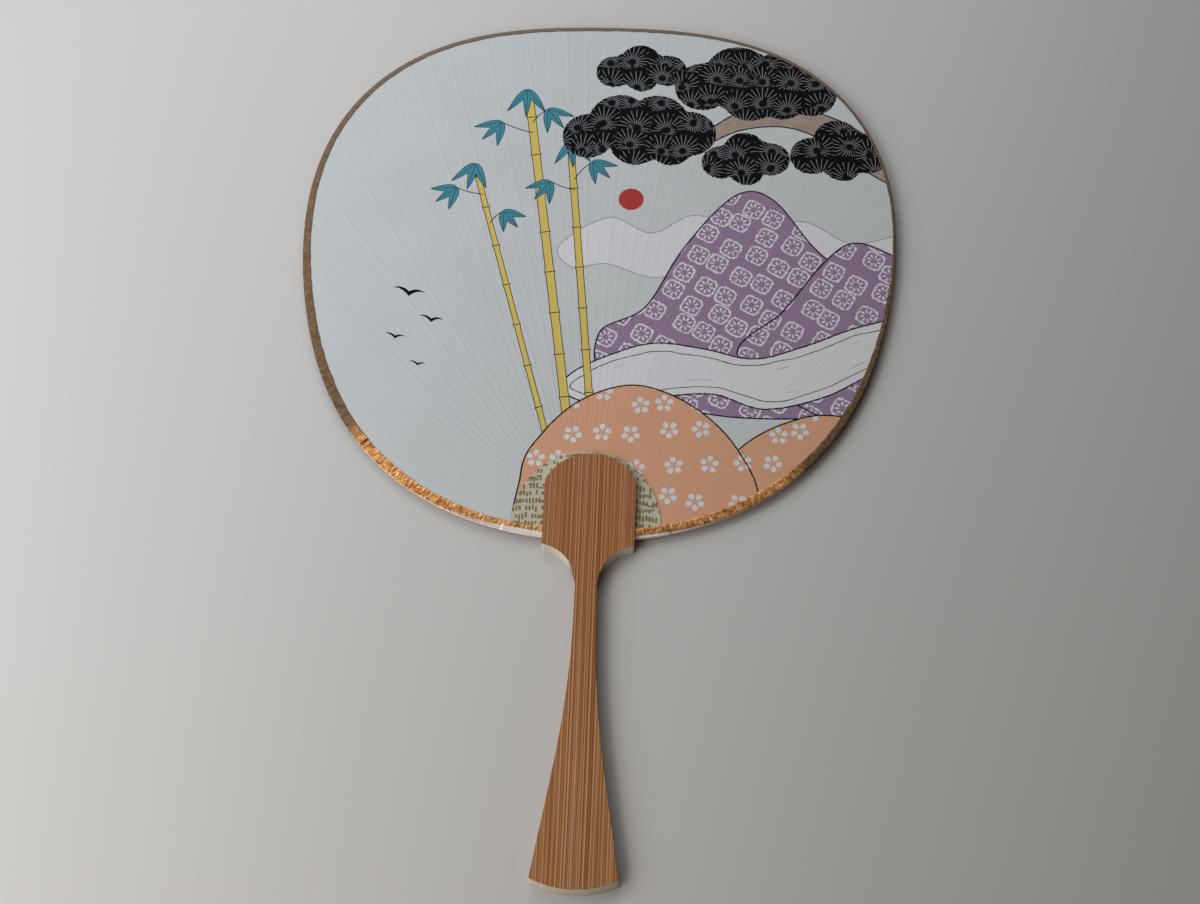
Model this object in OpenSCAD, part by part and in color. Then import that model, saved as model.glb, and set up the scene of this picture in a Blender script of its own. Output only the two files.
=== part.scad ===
// Round fan with a paper face on split bamboo ribs and a separate, pushed-in
// bamboo handle. Millimetres. The fan lies on its back: X is the width, +Y runs
// from the tail of the handle to the top of the face, +Z is the front of the face.
// The corners of the handle's tail are at Y = 0 and the handle's back is at Z = 0.

/* [Face] */
// Width of the face at its widest
face_w = 244; // [200:1:290]
// Height of the face from its foot in the slot to its top
face_h = 239; // [200:1:280]
// How far the hand-set face sits off the axis of the handle
face_off = -1.3; // [-3:0.1:3]
// Thickness of each sheet of face paper
paper_t = 0.18; // [0.1:0.01:0.4]

/* [Ribs] */
// Thickness of a split bamboo rib
rib_t = 0.6; // [0.4:0.05:0.9]
// Width of a rib at the rim
rib_w_rim = 1.1; // [0.7:0.05:1.6]
// Width of a rib at its root
rib_w_root = 0.55; // [0.4:0.05:0.65]
// Angle between the middle rib and the lowest rib on each side
rib_fan = 75.4; // [60:0.2:78]
// Distance from the fan point to the ends of the long ribs
root_long = 14; // [13:0.5:18]
// Distance from the fan point to the ends of the short ribs between them
root_short = 24; // [22:0.5:30]

/* [Edge strip] */
// Thickness of the metallic edge paper
strip_t = 0.12; // [0.08:0.01:0.2]
// Width of the edge paper before it is folded over the rim
strip_w = 7.4; // [6.6:0.1:10]
// Mean width that shows on the front
strip_front = 2.4; // [2.1:0.1:2.8]
// How far that width drifts from one side of the face to the other
strip_drift = 1.9; // [0:0.1:1.9]
// Length by which one strip laps over the next
lap_l = 4; // [2:0.5:8]

/* [Base patches] */
// Width of the arched paper patch at the foot of the face
patch_w = 57.6; // [46:0.4:72]
// Height of the patch above the foot of the face
patch_h = 37; // [30:0.5:48]
// Thickness of the patch paper
patch_t = 0.15; // [0.08:0.01:0.3]

/* [Handle] */
// Length of the handle from the corners of its tail to the top of the dome
handle_l = 163; // [140:0.2:200]
// Thickness of the handle
handle_t = 4.8; // [4:0.1:7]
// Width of the head
head_w = 35.2; // [30:0.2:42]
// Height of the head from the shoulder corners to the top of the dome
head_h = 37.9; // [34:0.1:48]
// Rise of the dome over the straight sides of the head
dome_rise = 11.6; // [6:0.1:14]
// Radius of the hollow shoulders under the head
shoulder_r = 15.9; // [14.5:0.1:20]
// Width of the neck
neck_w = 8.4; // [7:0.1:11]
// Length of the straight neck below the shoulders
neck_l = 8; // [4:0.5:14]
// Width of the tail at its corners
tail_w = 31.7; // [24:0.1:38]
// Bulge of the curved tail beyond its corners
tail_rise = 3.5; // [2:0.1:6]
// Lean of the sawn tail and shoulders: their back edges reach further down
cut_lean = 16; // [4:1:20]
// Depth of the slot that takes the foot of the face, from the top of the dome
slot_depth = 35.6; // [32:0.1:37]

/* [Hidden] */
// The outline is sampled every few degrees, and every layer shares the same points
step = 2;
// Number of ribs on each side of the middle one
rib_pairs = 32;
// Room under the foot of the face in the slot
foot_gap = 0.2;
// The ribs stop this far inside the folded edge paper
rib_inset = 0.1;
// The fan point lies just below the foot of the face
fan_drop = 0.8;
// Where the main edge strip starts, in degrees clockwise from the top
seam_angle = 227;
// The stretches of the handle's profile run into each other by this much
join = 0.5;

// Heights of the layers, measured from the middle of the face
mid_z = handle_t / 2;
core_h = rib_t / 2 + paper_t;
slot_t = 2 * (core_h + patch_t + strip_t);

// The outline of the face is a full moon with squared shoulders and a flatter foot
function moon(a) = 1 - 0.0073 * cos(2 * a) - 0.029 * cos(3 * a) - 0.0257 * cos(4 * a);
moon_x = max([for (a = [60:0.5:120]) moon(a) * sin(a)]);
scale_x = face_w / 2 / moon_x;
scale_y = face_h / (moon(0) + moon(180));

foot_y = handle_l - slot_depth + foot_gap;
centre = [face_off, foot_y + scale_y * moon(180)];
fan_point = [face_off, foot_y - fan_drop];

// Points of the rim, at an angle clockwise from the top and a distance outside it
function edge(a) = centre + [scale_x * moon(a) * sin(a), scale_y * moon(a) * cos(a)];
function outward(a) = let (t = edge(a + 0.5) - edge(a - 0.5)) [-t.y, t.x] / norm(t);
function knot(a, d) = edge(a) + d * outward(a);
function rim(a, d = 0) =
    let (i = floor(a / step), f = a / step - i)
    (1 - f) * knot(i * step, d) + f * knot((i + 1) * step, d);
face_outline = [for (i = [0:360 / step - 1]) rim(i * step)];

// Angles of a stretch of rim: its two ends and the shared points between them
function stretch(a0, a1) = concat(
    [a0],
    [for (i = [floor(a0 / step) + 1:ceil(a1 / step) - 1]) i * step],
    [a1]
);

// Width of edge paper on the front, and what is left of it for the back
function front_lip(a) =
    strip_front + strip_drift * (cos(a - 207) + 0.25 * cos(2 * a));
function back_lip(a) = strip_w - 2 * core_h - front_lip(a);

// Angle at which the patch's side meets the rim, by halving the interval
function side_angle(x, lo = 120, hi = 180, n = 24) =
    let (m = (lo + hi) / 2)
    n == 0 ? m :
    edge(m).x - centre.x > x ? side_angle(x, m, hi, n - 1) : side_angle(x, lo, m, n - 1);
patch_angle = side_angle(patch_w / 2);
lap_angle = lap_l / (face_w / 2) * 180 / PI;

// Distance from a point to the rim along a direction, by halving the interval
function is_inside(p) =
    let (x = (p.x - centre.x) / scale_x, y = (p.y - centre.y) / scale_y)
    norm([x, y]) < moon(atan2(x, y)) - rib_inset / scale_x;
function reach(p, dir, lo = 0, hi = 2 * face_h, n = 26) =
    let (m = (lo + hi) / 2)
    n == 0 ? lo :
    is_inside(p + m * dir) ? reach(p, dir, m, hi, n - 1) : reach(p, dir, lo, m, n - 1);

// The ribs open a little wider towards the sides
function rib_angle(k) = let (u = k / rib_pairs) rib_fan * (0.9 * u + 0.1 * pow(u, 4));
function rib_start(k) = k % 2 == 0 ? root_long : root_short;
function turned(v, a) = [v.x * cos(a) + v.y * sin(a), v.y * cos(a) - v.x * sin(a)];

// One side of a rib, from its root to the rim
function rib_side(k, side) =
    let (
        a = rib_angle(k),
        r = rib_start(k),
        whole = r + reach(fan_point + turned([0, r], a), turned([0, 1], a)),
        root = fan_point + turned([side * rib_w_root / 2, r], a),
        tip = fan_point + turned([side * rib_w_rim / 2, whole], a),
        dir = (tip - root) / norm(tip - root)
    )
    [root, root + reach(root, dir) * dir];

module layer(z, t) {
    translate([0, 0, mid_z + z]) linear_extrude(t) children();
}

// Handle: slotted head, hollow shoulders, thin neck and flared tail

module head_profile() {
    dome_r = (pow(head_w / 2, 2) + pow(dome_rise, 2)) / (2 * dome_rise);
    dome_y = handle_l - dome_r;
    shoulder_y = handle_l - head_h;
    intersection() {
        translate([-head_w / 2, shoulder_y]) square([head_w, head_h + join]);
        union() {
            translate([0, dome_y]) circle(r = dome_r, $fn = 120);
            translate([-head_w / 2, shoulder_y]) square([head_w, handle_l - dome_rise - shoulder_y]);
        }
    }
}

// A round that leans with the saw cut, so that it reaches further down at the back
module leaning_round(x, y, r) {
    translate([x, y, handle_t]) rotate([-cut_lean, 0, 0])
        cylinder(r = r, h = 2 * (handle_t + r), center = true, $fn = 180);
}

// The flanks run straight up from the tail and turn into the neck along one arc
module flank_profile(y, drop) {
    turn_y = 0.69 * y;
    lean = atan((tail_w - neck_w) / 2 / turn_y);
    flank_r = (y - turn_y) / tan(lean / 2);
    low_y = turn_y - (y - turn_y) * cos(lean);
    low_x = neck_w / 2 + flank_r * (1 - cos(lean));
    end_y = -tail_rise - drop;
    tail_x = tail_w / 2 - end_y * tan(lean);
    polygon([[-tail_x, end_y], [tail_x, end_y], [low_x, low_y], [-low_x, low_y]]);
    difference() {
        translate([-low_x, low_y - join]) square([2 * low_x, y - low_y + join]);
        for (side = [-1, 1]) {
            translate([side * (neck_w / 2 + flank_r), y]) circle(r = flank_r, $fn = 240);
        }
    }
}

module handle() {
    drop = handle_t * tan(cut_lean);
    corner_y = handle_l - head_h;
    // The hollows bite this far into the neck, so that no sliver is left beside it
    bite = join / 10 + pow(drop, 2) / 2 / shoulder_r;
    hollow_x = neck_w / 2 + shoulder_r - bite;
    inset = hollow_x - head_w / 2;
    neck_top = corner_y - sqrt(pow(shoulder_r, 2) - pow(inset, 2)) / cos(cut_lean);
    neck_foot = neck_top - neck_l;
    rise = tail_rise * cos(cut_lean);
    tail_r = (pow(tail_w / 2, 2) + pow(rise, 2)) / (2 * rise);
    color("sienna")
    difference() {
        intersection() {
            linear_extrude(handle_t) {
                head_profile();
                translate([-head_w / 2, neck_top - drop])
                    square([head_w, corner_y - neck_top + drop + join]);
                translate([-neck_w / 2, neck_foot - join]) square([neck_w, neck_l + join]);
                flank_profile(neck_foot, drop);
            }
            union() {
                leaning_round(0, tail_r / cos(cut_lean) - tail_rise, tail_r);
                translate([-tail_w, tail_rise, -handle_t]) cube([2 * tail_w, handle_l, 3 * handle_t]);
            }
        }
        for (side = [-1, 1]) leaning_round(side * hollow_x, neck_top, shoulder_r);
        translate([-head_w, handle_l - slot_depth, mid_z - slot_t / 2])
            cube([2 * head_w, 2 * slot_depth, slot_t]);
    }
}

// Face: ribs spread like a comb, with a sheet of paper on each side

module rib(k, side) {
    left = rib_side(k, -1);
    right = rib_side(k, 1);
    translate([side < 0 ? 2 * face_off : 0, 0, 0])
        mirror([side < 0 ? 1 : 0, 0, 0])
            layer(-rib_t / 2, rib_t) polygon([left[0], left[1], right[1], right[0]]);
}

module middle_rib() {
    color("wheat") rib(0, 1);
}

module rib_pair(k) {
    color("wheat") {
        rib(k, -1);
        rib(k, 1);
    }
}

module front_paper() {
    color("lightsteelblue") layer(rib_t / 2, paper_t) polygon(face_outline);
}

module back_paper() {
    color("aliceblue") layer(-core_h, paper_t) polygon(face_outline);
}

// Patches: an arch over the foot of the face, cut to the rim

module patch_profile() {
    arch_y = edge(patch_angle).y + patch_h / 12;
    arch_h = foot_y + patch_h - arch_y;
    arch = [for (a = [0:3:180]) [centre.x + patch_w / 2 * cos(a), arch_y + arch_h * sin(a)]];
    low_y = foot_y - patch_h / 8;
    legs = [[centre.x - patch_w / 2, low_y], [centre.x + patch_w / 2, low_y]];
    intersection() {
        polygon(concat(arch, legs));
        polygon(face_outline);
    }
}

module front_base_patch() {
    color("darkkhaki") layer(core_h, patch_t) patch_profile();
}

module back_base_patch() {
    color("darkkhaki") layer(-core_h - patch_t, patch_t) patch_profile();
}

// Edge paper: folded over the rim, with a lip on the front and on the back

module rim_band(angles, inner, outer) {
    polygon(concat(
        [for (a = angles) rim(a, outer)],
        [for (i = [len(angles) - 1:-1:0]) rim(angles[i], inner[i])]
    ));
}

module fold(a0, a1, lift, out, t) {
    angles = stretch(a0, a1);
    up = core_h + lift;
    layer(-up - t, 2 * (up + t)) rim_band(angles, [for (a = angles) out], out + t);
    layer(up, t) rim_band(angles, [for (a = angles) -front_lip(a)], out + t);
    layer(-up - t, t) rim_band(angles, [for (a = angles) -back_lip(a)], out + t);
}

// Where a strip laps over its neighbour, a short thick jog steps it up and out

module edge_strip_main() {
    color("darkgoldenrod") {
        fold(seam_angle, 360 + patch_angle, 0, 0, strip_t);
        fold(seam_angle, seam_angle + lap_angle / 4, 0, 0, 2 * strip_t);
        fold(seam_angle - lap_angle, seam_angle, strip_t, strip_t, strip_t);
    }
}

module edge_strip_left() {
    color("darkgoldenrod") fold(360 - patch_angle, seam_angle, 0, 0, strip_t);
}

module edge_strip_base() {
    right = patch_angle;
    left = 360 - patch_angle;
    color("goldenrod") {
        fold(right, left, patch_t, 0, strip_t);
        fold(right, right + lap_angle / 4, patch_t, 0, 2 * strip_t);
        fold(right - lap_angle / 2, right, patch_t, strip_t, strip_t);
        fold(left - lap_angle / 4, left, patch_t, 0, 2 * strip_t);
        fold(left, left + lap_angle / 2, patch_t, strip_t, strip_t);
    }
}

handle();
front_paper();
back_paper();
front_base_patch();
back_base_patch();
edge_strip_main();
edge_strip_left();
edge_strip_base();
middle_rib();
for (k = [1:rib_pairs]) {
    rib_pair(k);
}
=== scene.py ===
import math

import bmesh
import bpy
import numpy as np
from mathutils import Euler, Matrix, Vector


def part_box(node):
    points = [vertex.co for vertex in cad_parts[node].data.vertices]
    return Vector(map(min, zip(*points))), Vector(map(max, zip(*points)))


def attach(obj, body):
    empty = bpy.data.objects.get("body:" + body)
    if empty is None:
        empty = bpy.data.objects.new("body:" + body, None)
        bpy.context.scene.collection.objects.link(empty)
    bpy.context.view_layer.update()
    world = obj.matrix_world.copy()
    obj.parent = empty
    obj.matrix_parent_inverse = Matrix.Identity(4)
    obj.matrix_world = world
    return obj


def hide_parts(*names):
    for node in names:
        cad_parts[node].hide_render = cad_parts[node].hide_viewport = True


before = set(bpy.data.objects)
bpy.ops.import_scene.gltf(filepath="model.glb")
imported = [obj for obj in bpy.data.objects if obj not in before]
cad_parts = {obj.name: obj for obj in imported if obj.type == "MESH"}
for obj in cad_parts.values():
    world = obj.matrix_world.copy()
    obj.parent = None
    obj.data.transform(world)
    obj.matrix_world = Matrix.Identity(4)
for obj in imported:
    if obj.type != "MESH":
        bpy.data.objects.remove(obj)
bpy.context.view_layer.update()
mm = 0.001

# shader helpers


def srgb(red, green, blue):  # a screen colour, 0 to 255, as the shader's linear colour
    def linear(c):
        c = c / 255
        return c / 12.92 if c <= 0.04045 else ((c + 0.055) / 1.055) ** 2.4
    return (linear(red), linear(green), linear(blue), 1.0)


class Sock:  # a shader socket that can stand in a sum
    def __init__(self, mat, socket):
        self.mat = mat
        self.socket = socket

    def __add__(self, other):
        return self.mat.math("ADD", self, other)

    def __sub__(self, other):
        return self.mat.math("SUBTRACT", self, other)

    def __rsub__(self, other):
        return self.mat.math("SUBTRACT", other, self)

    def __mul__(self, other):
        return self.mat.math("MULTIPLY", self, other)

    def __truediv__(self, other):
        return self.mat.math("DIVIDE", self, other)

    def __neg__(self):
        return self.mat.math("MULTIPLY", self, -1)

    def __abs__(self):
        return self.mat.math("ABSOLUTE", self)

    __radd__ = __add__


class Mat:  # a material and the ways to add nodes to it
    def __init__(self, name):
        self.material = bpy.data.materials.new(name)
        self.material.use_nodes = True
        self.nodes = self.material.node_tree.nodes
        self.links = self.material.node_tree.links
        self.shader = self.nodes["Principled BSDF"]

    def plug(self, node, key, value):
        if isinstance(value, Sock):
            self.links.new(value.socket, node.inputs[key])
        else:
            node.inputs[key].default_value = value

    def node(self, kind, settings=None, inputs=None, outputs=(0,)):
        made = self.nodes.new(kind)
        for key, value in (settings or {}).items():
            if key == "stops":
                ramp = made.color_ramp
                for _ in range(len(value) - 2):
                    ramp.elements.new(0.5)
                for element, (place, colour) in zip(ramp.elements, value):
                    element.position = place
                    element.color = colour
            else:
                setattr(made, key, value)
        for key, value in (inputs or {}).items():
            self.plug(made, key, value)
        found = [Sock(self, made.outputs[key]) for key in outputs]
        return found[0] if len(found) == 1 else found

    def math(self, operation, *values, clamp=False):
        settings = {"operation": operation, "use_clamp": clamp}
        return self.node("ShaderNodeMath", settings, dict(enumerate(values)))

    def vector(self, operation, *values):
        return self.node("ShaderNodeVectorMath", {"operation": operation}, dict(enumerate(values)))

    def mix(self, factor, first, second, blend="MIX"):
        settings = {"data_type": "RGBA", "blend_type": blend}
        return self.node("ShaderNodeMix", settings, {0: factor, 6: first, 7: second}, (2,))

    def ramp(self, factor, stops):
        return self.node("ShaderNodeValToRGB", {"stops": stops}, {"Fac": factor})

    def coordinate(self, kind):
        return self.node("ShaderNodeTexCoord", None, None, (kind,))

    def scaled(self, vector, factor):
        return self.node("ShaderNodeVectorMath", {"operation": "SCALE"}, {0: vector, "Scale": factor})

    def place(self):  # where a point of the piece is, in millimetres
        return self.scaled(self.coordinate("Object"), 1 / mm)

    def split(self, vector):
        return self.node("ShaderNodeSeparateXYZ", None, {0: vector}, (0, 1, 2))

    def join(self, x, y, z=0.0):
        return self.node("ShaderNodeCombineXYZ", None, {0: x, 1: y, 2: z})

    def noise(self, vector, scale, detail=2.0, rough=0.5):
        inputs = {"Vector": vector, "Scale": scale, "Detail": detail, "Roughness": rough}
        return self.node("ShaderNodeTexNoise", {"noise_dimensions": "3D"}, inputs)

    def random(self, value):  # one random number for each whole value
        return self.node("ShaderNodeTexWhiteNoise", {"noise_dimensions": "1D"}, {"W": value})

    def spots(self, vector, scale):  # distance to the nearest of many scattered points
        inputs = {"Vector": vector, "Scale": scale}
        return self.node("ShaderNodeTexVoronoi", {"voronoi_dimensions": "3D"}, inputs, ("Distance",))

    def attribute(self, name):
        return self.node("ShaderNodeAttribute", {"attribute_name": name}, None, ("Fac",))

    def under(self, value, limit, soft=0.08):  # 1 where value is less than limit
        return self.math("MULTIPLY_ADD", limit - value, 1 / soft, 0.5, clamp=True)

    def reach(self, x, y):  # how far a place is from the middle
        return self.math("SQRT", x * x + y * y)

    def most(self, *masks):  # 1 where any of them is
        top = masks[0]
        for mask in masks[1:]:
            top = self.math("MAXIMUM", top, mask)
        return top

    def bump(self, height, strength, distance):
        inputs = {"Height": height, "Strength": strength, "Distance": distance}
        return self.node("ShaderNodeBump", None, inputs)

    def finish(self, **sockets):  # names of the shader's sockets, with _ for a blank
        for key, value in sockets.items():
            self.plug(self.shader, key.replace("_", " "), value)
        return self.material


# the rim, read from the frame

faceLow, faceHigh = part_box("front_paper")
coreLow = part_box("back_paper")[0].z
coreHigh = faceHigh.z
faceMid = (coreLow + coreHigh) / 2
middleX = (faceLow.x + faceHigh.x) / 2
face = {
    "centreAt": 0.5148,  # share of the face's height, from its foot
    "fanPointBelow": 0.8,  # mm under the foot, where the ribs would meet
    "radius": 122,  # mm, on average
}
face["centre"] = Vector((middleX, faceLow.y + face["centreAt"] * (faceHigh.y - faceLow.y)))
face["fanPoint"] = Vector((middleX, faceLow.y - face["fanPointBelow"] * mm))


def pointsOf(piece):
    flat = np.zeros(len(piece.data.vertices) * 3)
    piece.data.vertices.foreach_get("co", flat)
    return flat.reshape(-1, 3)


def cornersOf(node):
    return np.unique(np.round(pointsOf(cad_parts[node]), 6), axis=0)


def writeField(piece, name, values):  # one number for each point, read by the shader
    layer = piece.data.attributes.new(name, "FLOAT", "POINT")
    layer.data.foreach_set("value", values.astype(np.float32))


def curveThrough(p0, p1, p2, p3, t):  # the stretch between p1 and p2 of a smooth curve
    return 0.5 * (2 * p1 + (p2 - p0) * t + (2 * p0 - 5 * p1 + 4 * p2 - p3) * t ** 2
                  + (3 * p1 - p0 - 3 * p2 + p3) * t ** 3)


def readRim():  # angles clockwise from the top and points of the face's edge
    corners = cornersOf("front_paper")
    corners = corners[corners[:, 2] > coreHigh - 0.01 * mm][:, :2]
    away = corners - np.array(face["centre"])
    angle = np.degrees(np.arctan2(away[:, 0], away[:, 1])) % 360
    order = np.argsort(angle)
    return angle[order], corners[order]


rimAngle, rimPoint = readRim()
rimCount = len(rimPoint)


def rimAt(angle):  # a smooth curve through the corners of the edge, and its outward normal
    angle = np.atleast_1d(np.asarray(angle, float)) % 360
    after = np.searchsorted(rimAngle, angle) % rimCount
    before = (after - 1) % rimCount
    gap = (rimAngle[after] - rimAngle[before]) % 360
    t = (((angle - rimAngle[before]) % 360) / gap)[:, None]
    p0, p1 = rimPoint[(before - 1) % rimCount], rimPoint[before]
    p2, p3 = rimPoint[after], rimPoint[(after + 1) % rimCount]
    point = curveThrough(p0, p1, p2, p3, t)
    along = (p2 - p0) * (1 - t) + (p3 - p1) * t
    along = along / np.linalg.norm(along, axis=1)[:, None]
    return point, np.stack([-along[:, 1], along[:, 0]], axis=1)


def readRibs():  # angle of each rib at the fan point, clockwise from straight up
    angles = [0.0]
    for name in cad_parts:
        if name.startswith("rib_pair_"):
            corners = cornersOf(name)
            right = corners[corners[:, 0] > face["fanPoint"].x]
            middle = right.mean(axis=0)[:2] - np.array(face["fanPoint"])
            turn = math.atan2(middle[0], middle[1])
            angles += [turn, -turn]
    return np.array(sorted(angles))


ribAngle = readRibs()
print("frame read:", rimCount, "rim corners,", len(ribAngle), "ribs")


def smooth(low, high, value):
    t = np.clip((value - low) / (high - low), 0, 1)
    return t * t * (3 - 2 * t)


# objects


def newPiece(name, bm, material):
    bmesh.ops.recalc_face_normals(bm, faces=bm.faces)
    mesh = bpy.data.meshes.new(name)
    bm.to_mesh(mesh)
    bm.free()
    piece = bpy.data.objects.new(name, mesh)
    bpy.context.scene.collection.objects.link(piece)
    mesh.materials.append(material)
    for polygon in mesh.polygons:
        polygon.use_smooth = True
    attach(piece, "root")
    return piece


def gridPiece(columns, rows, place):  # a grid whose corners are put where place says
    bm = bmesh.new()
    bmesh.ops.create_grid(bm, x_segments=columns, y_segments=rows, size=1)
    across = np.array([round((v.co.x + 1) / 2 * columns) for v in bm.verts])
    along = np.array([round((v.co.y + 1) / 2 * rows) for v in bm.verts])
    points = place(across, along)
    for vertex, point in zip(bm.verts, points):
        vertex.co = point
    return bm


# face sheets

sheet = {
    "thick": 0.16,  # mm from the solid's face to the sheet's inner side
    "inset": 0.06,  # mm from the solid's face down to the paper between two ribs
    "ridge": 0.046,  # mm, how far a rib lifts the paper
    "ridgeSpread": 0.28,  # how much that differs from rib to rib
    "ridgeRight": 0.45,  # how much lower the ridges are on the right
    # steps down a ridge: mm from its middle, or that share of the way to the next one, and height
    "steps": [(0.0, 0.0, 1.0), (0.40, 0.30, 0.94), (0.68, 0.54, 0.05), (0.94, 0.74, 0.0)],
    "bow": 0.2,  # mm, a slow bend of a rib to each side, and its length
    "bowLength": 50,
    "waver": 0.1,  # mm, a quick one, and its length
    "waverLength": 4.5,
    "seed": 4,
    "flatUntil": 30,  # mm from the fan point, where the ribs are too close to show
    "ridgeFrom": 50,
    "start": 12,  # mm from the fan point, hidden in the handle's slot
    "sideColumns": 4,  # beyond the lowest rib on each side
    "rings": 140,
    "backRings": 60,
}


def fanReach():  # nearest and farthest edge of the face in each direction from the fan point
    away = rimAt(np.arange(0, 360, 0.25))[0] - np.array(face["fanPoint"])
    angle = np.arctan2(away[:, 0], away[:, 1])
    distance = np.hypot(away[:, 0], away[:, 1])
    last = int(np.argmax(angle))
    first = int(np.argmin(angle))
    far = np.r_[np.arange(first, len(angle)), np.arange(0, last + 1)]
    near = np.arange(first, last - 1, -1)
    return (angle[far], distance[far]), (angle[near], distance[near])


farEdge, nearEdge = fanReach()
# a little less than the turn at which a line from the fan point still meets the face
widest = min(farEdge[0].max(), -farEdge[0].min(), nearEdge[0].max(), -nearEdge[0].min()) * 0.999


def ribColumns():  # the rib that each column belongs to, the next rib, and its step down the ridge
    columns = []
    for i in range(len(ribAngle) - 1):
        columns += [(i, i + 1, step) for step in (0, 1, 2, 3, 4)]
        columns += [(i + 1, i, step) for step in (3, 2, 1)]
    columns.append((len(ribAngle) - 1, len(ribAngle) - 2, 0))
    return np.array(columns).T


def sheetPoints(side, rings):
    own, other, step = ribColumns()
    rng = np.random.default_rng(sheet["seed"])
    ribLift = 1 + sheet["ridgeSpread"] * rng.standard_normal(len(ribAngle)).clip(-1.5, 1.5)
    ribLift = ribLift * (1 - sheet["ridgeRight"] * smooth(-0.5, 0.4, ribAngle))
    ribBow = sheet["bow"] * rng.standard_normal(len(ribAngle)).clip(-1.5, 1.5)
    outwards = np.linspace(0, 1, rings + 1)[:, None]
    ownInner = np.maximum(np.interp(ribAngle[own], *nearEdge), sheet["start"] * mm)
    ownOuter = np.interp(ribAngle[own], *farEdge)
    nominal = ownInner + (ownOuter - ownInner) * outwards
    half = np.abs(ribAngle[other] - ribAngle[own]) / 2 * nominal
    onStep = [step == i for i in range(len(sheet["steps"]))]
    aside = [np.minimum(most * mm, share * half) for most, share, high in sheet["steps"]]
    aside = np.select(onStep, aside, half) * np.sign(ribAngle[other] - ribAngle[own])
    height = np.select(onStep, [high for most, share, high in sheet["steps"]], 0.0) * ribLift[own]
    bow = ribBow[own] * np.sin(nominal / (sheet["bowLength"] * mm) + own)
    waver = sheet["waver"] * np.sin(nominal / (sheet["waverLength"] * mm) + 2.4 * own)
    sway = (bow + waver) * np.minimum(mm, 0.6 * half) * (step < len(sheet["steps"]))
    angle = ribAngle[own] + (aside + sway) / nominal
    # beyond the lowest rib on each side the paper runs on to the rim
    share = np.arange(sheet["sideColumns"]) / sheet["sideColumns"]
    low = -widest + (ribAngle[0] + widest) * share
    high = widest - (widest - ribAngle[-1]) * share[::-1]
    sides = [np.repeat(part[None, :], rings + 1, 0) for part in (low, high)]
    angle = np.hstack([sides[0], angle, sides[1]])
    height = np.r_[0 * low, height, 0 * high]
    outer = np.interp(angle, *farEdge)
    inner = np.maximum(np.interp(angle, *nearEdge), sheet["start"] * mm)
    inner = np.minimum(inner, outer)
    radius = inner + (outer - inner) * outwards
    x = face["fanPoint"].x + radius * np.sin(angle)
    y = face["fanPoint"].y + radius * np.cos(angle)
    shown = smooth(sheet["flatUntil"] * mm, sheet["ridgeFrom"] * mm, radius)
    rest = faceMid + side * (coreHigh - faceMid - sheet["inset"] * mm)
    return x, y, rest + side * height * sheet["ridge"] * shown * mm


def makeSheet(name, side, rings, material, node):
    x, y, z = sheetPoints(side, rings)
    columns = x.shape[1] - 1

    def place(across, along):
        return np.stack([x[along, across], y[along, across], z[along, across]], axis=1)

    bm = gridPiece(columns, rings, place)
    bmesh.ops.remove_doubles(bm, verts=bm.verts, dist=0.002 * mm)
    edge = [e for e in bm.edges if e.is_boundary]
    wall = bmesh.ops.extrude_edge_only(bm, edges=edge)["geom"]
    under = faceMid + side * (coreHigh - faceMid - sheet["thick"] * mm)
    for vertex in wall:
        if isinstance(vertex, bmesh.types.BMVert):
            vertex.co.z = under
    rimEdges = [e for e in wall if isinstance(e, bmesh.types.BMEdge)]
    bmesh.ops.contextual_create(bm, geom=rimEdges)
    piece = newPiece(name, bm, material)
    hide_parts(node)
    return piece


# the print's shapes

# Each outline is a smooth closed curve through a few points, in mm from the face's centre
outlines = {
    "cloudBand": [(-16, 6), (4, 20), (22, 13), (40, 22), (62, 14), (84, 20), (104, 10), (128, 14),
                  (128, -6), (96, -4), (70, -8), (46, -2), (24, -8), (4, -2), (-10, -4)],
    "farHill": [(2, -34), (20, -22), (34, 4), (50, 26), (62, 34), (74, 28), (90, 6), (112, -12),
                (132, -20), (136, -60), (60, -70), (8, -56)],
    "sideHill": [(58, -44), (76, -22), (92, 0), (104, 10), (118, 6), (136, -8), (140, -60),
                 (100, -72)],
    "stream": [(132, -24), (108, -28), (84, -38), (64, -44), (44, -40), (24, -38), (6, -44),
               (-8, -52), (-12, -60), (4, -66), (26, -62), (48, -60), (68, -66), (92, -60),
               (114, -48), (134, -44)],
    "nearHill": [(-26, -96), (-18, -78), (-4, -64), (14, -57), (30, -60), (46, -70), (58, -84),
                 (66, -104), (60, -132), (-20, -132)],
    "lowHill": [(40, -128), (48, -98), (60, -82), (76, -72), (94, -68), (120, -74), (130, -100),
                (90, -134)],
    "trunk": [(132, 34), (112, 44), (96, 58), (78, 66), (58, 64), (40, 54), (30, 50), (22, 54),
              (30, 59), (44, 64), (58, 73), (80, 76), (100, 70), (118, 58), (134, 52)],
}
# Each bank of needles is a row of overlapping rounds: x, y and radius
needleBanks = [
    [(-6, 60, 11), (7, 68, 13), (23, 68, 13), (37, 62, 11), (14, 57, 11), (29, 55, 9)],
    [(42, 86, 12), (57, 93, 14), (74, 91, 13), (88, 83, 11), (62, 81, 12), (76, 79, 9)],
    [(88, 52, 9), (99, 60, 10), (111, 54, 10), (101, 48, 8)],
    [(4, 93, 8), (15, 98, 9), (27, 94, 8), (16, 90, 7)],
    [(50, 48, 8), (60, 54, 9), (71, 50, 8), (61, 44, 7)],
]


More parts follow.
